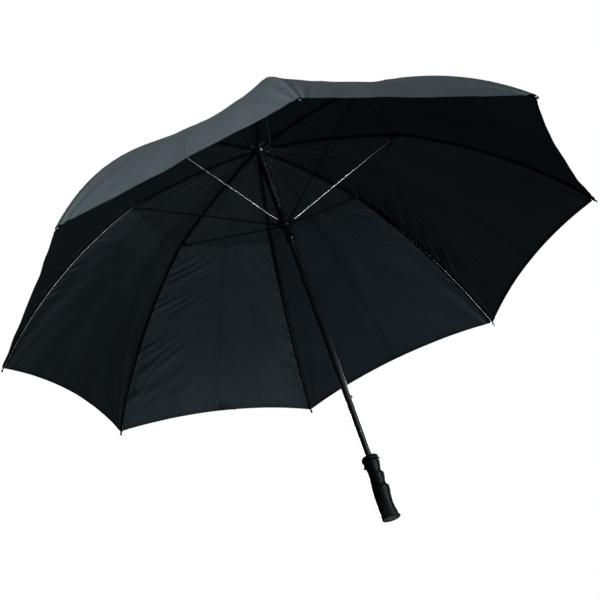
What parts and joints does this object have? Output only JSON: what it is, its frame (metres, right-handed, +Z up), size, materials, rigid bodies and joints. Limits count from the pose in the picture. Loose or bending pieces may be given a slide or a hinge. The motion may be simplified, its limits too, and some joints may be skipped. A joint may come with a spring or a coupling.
{
  "type": "golf umbrella",
  "caption": "Large open stick umbrella with a scalloped woven canopy on folding ribs, a sprung sliding runner, a straight shaft and a grooved pistol-style grip with a release button.",
  "frame": {"origin": "centre of the handle's flat end face, on the shaft's axis", "axes": "+Z up the shaft to the ferrule, +X to the finger-groove side of the grip and along rib 1, -X to the push button"},
  "size_m": [1.304, 1.304, 0.955],
  "materials": {
    "shaft": "satin black paint on a drawn tube",
    "notch": "moulded, matt black",
    "wire": "plated wire",
    "ferrule": "moulded, gloss black",
    "disc": "glossy blue-grey",
    "spring": "black coated spring wire",
    "runner": "moulded, matt black",
    "grip": "soft-touch, matt black",
    "button": "moulded, satin black",
    "small_spring": "bright spring wire",
    "lever": "stamped steel",
    "rib": "black lacquered steel channel",
    "joint": "black nickel with a brass rivet",
    "rod": "black glass-fibre rod",
    "tip": "dark nickel",
    "stretcher": "black nickel, glossy",
    "canopy": "black woven polyester"
  },
  "bodies": {
    "root": {"shaft_tube": "shaft", "top_notch": "notch", "notch_wire": "wire", "ferrule_spike": "ferrule", "under_disc": "disc", "pull_spring": "spring", "grip": "grip", "button_spring": "small_spring"},
    "button": {"push_button": "button"},
    "lever": {"release_lever": "lever"},
    "runner": {"runner": "runner", "runner_wire": "wire"},
    "rib_1": {"inner_rib_1": "rib", "rib_joint_1": "joint"},
    "rod_1": {"outer_rod_1": "rod", "rib_tip_1": "tip", "canopy_gore_1": "canopy"},
    "stretcher_1": {"stretcher_1": "stretcher"},
    "rib_2": {"inner_rib_2": "rib", "rib_joint_2": "joint"},
    "rod_2": {"outer_rod_2": "rod", "rib_tip_2": "tip", "canopy_gore_2": "canopy"},
    "stretcher_2": {"stretcher_2": "stretcher"},
    "rib_3": {"inner_rib_3": "rib", "rib_joint_3": "joint"},
    "rod_3": {"outer_rod_3": "rod", "rib_tip_3": "tip", "canopy_gore_3": "canopy"},
    "stretcher_3": {"stretcher_3": "stretcher"},
    "rib_4": {"inner_rib_4": "rib", "rib_joint_4": "joint"},
    "rod_4": {"outer_rod_4": "rod", "rib_tip_4": "tip", "canopy_gore_4": "canopy"},
    "stretcher_4": {"stretcher_4": "stretcher"},
    "rib_5": {"inner_rib_5": "rib", "rib_joint_5": "joint"},
    "rod_5": {"outer_rod_5": "rod", "rib_tip_5": "tip", "canopy_gore_5": "canopy"},
    "stretcher_5": {"stretcher_5": "stretcher"},
    "rib_6": {"inner_rib_6": "rib", "rib_joint_6": "joint"},
    "rod_6": {"outer_rod_6": "rod", "rib_tip_6": "tip", "canopy_gore_6": "canopy"},
    "stretcher_6": {"stretcher_6": "stretcher"},
    "rib_7": {"inner_rib_7": "rib", "rib_joint_7": "joint"},
    "rod_7": {"outer_rod_7": "rod", "rib_tip_7": "tip", "canopy_gore_7": "canopy"},
    "stretcher_7": {"stretcher_7": "stretcher"},
    "rib_8": {"inner_rib_8": "rib", "rib_joint_8": "joint"},
    "rod_8": {"outer_rod_8": "rod", "rib_tip_8": "tip", "canopy_gore_8": "canopy"},
    "stretcher_8": {"stretcher_8": "stretcher"}
  },
  "joints": [
    {"name": "rib_fold_1", "type": "hinge", "parent": "root", "child": "rib_1", "pos_m": [0.011, 0, 0.892], "axis": [0, 1, 0], "range_deg": [0, 75.02]},
    {"name": "rib_fold_2", "type": "hinge", "parent": "root", "child": "rib_2", "pos_m": [0.00778, 0.00778, 0.892], "axis": [-0.7071, 0.7071, 0], "range_deg": [0, 75.02]},
    {"name": "rib_fold_3", "type": "hinge", "parent": "root", "child": "rib_3", "pos_m": [0, 0.011, 0.892], "axis": [-1, 0, 0], "range_deg": [0, 75.02]},
    {"name": "rib_fold_4", "type": "hinge", "parent": "root", "child": "rib_4", "pos_m": [-0.00778, 0.00778, 0.892], "axis": [-0.7071, -0.7071, 0], "range_deg": [0, 75.02]},
    {"name": "rib_fold_5", "type": "hinge", "parent": "root", "child": "rib_5", "pos_m": [-0.011, 0, 0.892], "axis": [0, -1, 0], "range_deg": [0, 75.02]},
    {"name": "rib_fold_6", "type": "hinge", "parent": "root", "child": "rib_6", "pos_m": [-0.00778, -0.00778, 0.892], "axis": [0.7071, -0.7071, 0], "range_deg": [0, 75.02]},
    {"name": "rib_fold_7", "type": "hinge", "parent": "root", "child": "rib_7", "pos_m": [0, -0.011, 0.892], "axis": [1, 0, 0], "range_deg": [0, 75.02]},
    {"name": "rib_fold_8", "type": "hinge", "parent": "root", "child": "rib_8", "pos_m": [0.00778, -0.00778, 0.892], "axis": [0.7071, 0.7071, 0], "range_deg": [0, 75.02]},
    {"name": "rod_flex_1", "type": "hinge", "parent": "rib_1", "child": "rod_1", "pos_m": [0.3009, 0, 0.8364], "axis": [0, 1, 0], "range_deg": [-24.5, 0], "deforming": ["canopy_gore_1"]},
    {"name": "stretcher_swing_1", "type": "hinge", "parent": "rib_1", "child": "stretcher_1", "pos_m": [0.289, 0, 0.833], "axis": [0, 1, 0], "range_deg": [-136.4, 0]},
    {"name": "rod_flex_2", "type": "hinge", "parent": "rib_2", "child": "rod_2", "pos_m": [0.21277, 0.21277, 0.8364], "axis": [-0.7071, 0.7071, 0], "range_deg": [-24.5, 0], "deforming": ["canopy_gore_2"]},
    {"name": "stretcher_swing_2", "type": "hinge", "parent": "rib_2", "child": "stretcher_2", "pos_m": [0.20435, 0.20435, 0.833], "axis": [-0.7071, 0.7071, 0], "range_deg": [-136.4, 0]},
    {"name": "rod_flex_3", "type": "hinge", "parent": "rib_3", "child": "rod_3", "pos_m": [0, 0.3009, 0.8364], "axis": [-1, 0, 0], "range_deg": [-24.5, 0], "deforming": ["canopy_gore_3"]},
    {"name": "stretcher_swing_3", "type": "hinge", "parent": "rib_3", "child": "stretcher_3", "pos_m": [0, 0.289, 0.833], "axis": [-1, 0, 0], "range_deg": [-136.4, 0]},
    {"name": "rod_flex_4", "type": "hinge", "parent": "rib_4", "child": "rod_4", "pos_m": [-0.21277, 0.21277, 0.8364], "axis": [-0.7071, -0.7071, 0], "range_deg": [-24.5, 0], "deforming": ["canopy_gore_4"]},
    {"name": "stretcher_swing_4", "type": "hinge", "parent": "rib_4", "child": "stretcher_4", "pos_m": [-0.20435, 0.20435, 0.833], "axis": [-0.7071, -0.7071, 0], "range_deg": [-136.4, 0]},
    {"name": "rod_flex_5", "type": "hinge", "parent": "rib_5", "child": "rod_5", "pos_m": [-0.3009, 0, 0.8364], "axis": [0, -1, 0], "range_deg": [-24.5, 0], "deforming": ["canopy_gore_5"]},
    {"name": "stretcher_swing_5", "type": "hinge", "parent": "rib_5", "child": "stretcher_5", "pos_m": [-0.289, 0, 0.833], "axis": [0, -1, 0], "range_deg": [-136.4, 0]},
    {"name": "rod_flex_6", "type": "hinge", "parent": "rib_6", "child": "rod_6", "pos_m": [-0.21277, -0.21277, 0.8364], "axis": [0.7071, -0.7071, 0], "range_deg": [-24.5, 0], "deforming": ["canopy_gore_6"]},
    {"name": "stretcher_swing_6", "type": "hinge", "parent": "rib_6", "child": "stretcher_6", "pos_m": [-0.20435, -0.20435, 0.833], "axis": [0.7071, -0.7071, 0], "range_deg": [-136.4, 0]},
    {"name": "rod_flex_7", "type": "hinge", "parent": "rib_7", "child": "rod_7", "pos_m": [0, -0.3009, 0.8364], "axis": [1, 0, 0], "range_deg": [-24.5, 0], "deforming": ["canopy_gore_7"]},
    {"name": "stretcher_swing_7", "type": "hinge", "parent": "rib_7", "child": "stretcher_7", "pos_m": [0, -0.289, 0.833], "axis": [1, 0, 0], "range_deg": [-136.4, 0]},
    {"name": "rod_flex_8", "type": "hinge", "parent": "rib_8", "child": "rod_8", "pos_m": [0.21277, -0.21277, 0.8364], "axis": [0.7071, 0.7071, 0], "range_deg": [-24.5, 0], "deforming": ["canopy_gore_8"]},
    {"name": "stretcher_swing_8", "type": "hinge", "parent": "rib_8", "child": "stretcher_8", "pos_m": [0.20435, -0.20435, 0.833], "axis": [0.7071, 0.7071, 0], "range_deg": [-136.4, 0]},
    {"name": "runner_slide", "type": "slide", "parent": "root", "child": "runner", "axis": [0, 0, -1], "range_m": [0, 0.3967], "stiffness_N_per_m": 250, "springref_m": -0.15, "deforming": ["pull_spring"]},
    {"name": "button_push", "type": "slide", "parent": "root", "child": "button", "axis": [1, 0, 0], "range_m": [0, 0.003], "stiffness_N_per_m": 400, "springref_m": -0.004, "deforming": ["button_spring"]},
    {"name": "lever_rock", "type": "hinge", "parent": "root", "child": "lever", "pos_m": [0, 0, 0.188], "axis": [0, -1, 0], "range_deg": [0, 2.43]}
  ],
  "couplings": [
    {"joint": "rib_fold_2", "follows": "rib_fold_1", "ratio": 1},
    {"joint": "rib_fold_3", "follows": "rib_fold_1", "ratio": 1},
    {"joint": "rib_fold_4", "follows": "rib_fold_1", "ratio": 1},
    {"joint": "rib_fold_5", "follows": "rib_fold_1", "ratio": 1},
    {"joint": "rib_fold_6", "follows": "rib_fold_1", "ratio": 1},
    {"joint": "rib_fold_7", "follows": "rib_fold_1", "ratio": 1},
    {"joint": "rib_fold_8", "follows": "rib_fold_1", "ratio": 1},
    {"joint": "rod_flex_1", "follows": "rib_fold_1", "ratio": -0.32586},
    {"joint": "stretcher_swing_1", "follows": "rib_fold_1", "ratio": -1.8174},
    {"joint": "rod_flex_2", "follows": "rib_fold_1", "ratio": -0.32586},
    {"joint": "stretcher_swing_2", "follows": "rib_fold_1", "ratio": -1.8174},
    {"joint": "rod_flex_3", "follows": "rib_fold_1", "ratio": -0.32586},
    {"joint": "stretcher_swing_3", "follows": "rib_fold_1", "ratio": -1.8174},
    {"joint": "rod_flex_4", "follows": "rib_fold_1", "ratio": -0.32586},
    {"joint": "stretcher_swing_4", "follows": "rib_fold_1", "ratio": -1.8174},
    {"joint": "rod_flex_5", "follows": "rib_fold_1", "ratio": -0.32586},
    {"joint": "stretcher_swing_5", "follows": "rib_fold_1", "ratio": -1.8174},
    {"joint": "rod_flex_6", "follows": "rib_fold_1", "ratio": -0.32586},
    {"joint": "stretcher_swing_6", "follows": "rib_fold_1", "ratio": -1.8174},
    {"joint": "rod_flex_7", "follows": "rib_fold_1", "ratio": -0.32586},
    {"joint": "stretcher_swing_7", "follows": "rib_fold_1", "ratio": -1.8174},
    {"joint": "rod_flex_8", "follows": "rib_fold_1", "ratio": -0.32586},
    {"joint": "stretcher_swing_8", "follows": "rib_fold_1", "ratio": -1.8174},
    {"joint": "runner_slide", "follows": "rib_fold_1", "m_per_rad": 0.30295},
    {"joint": "lever_rock", "follows": "button_push", "rad_per_m": 14.08}
  ]
}
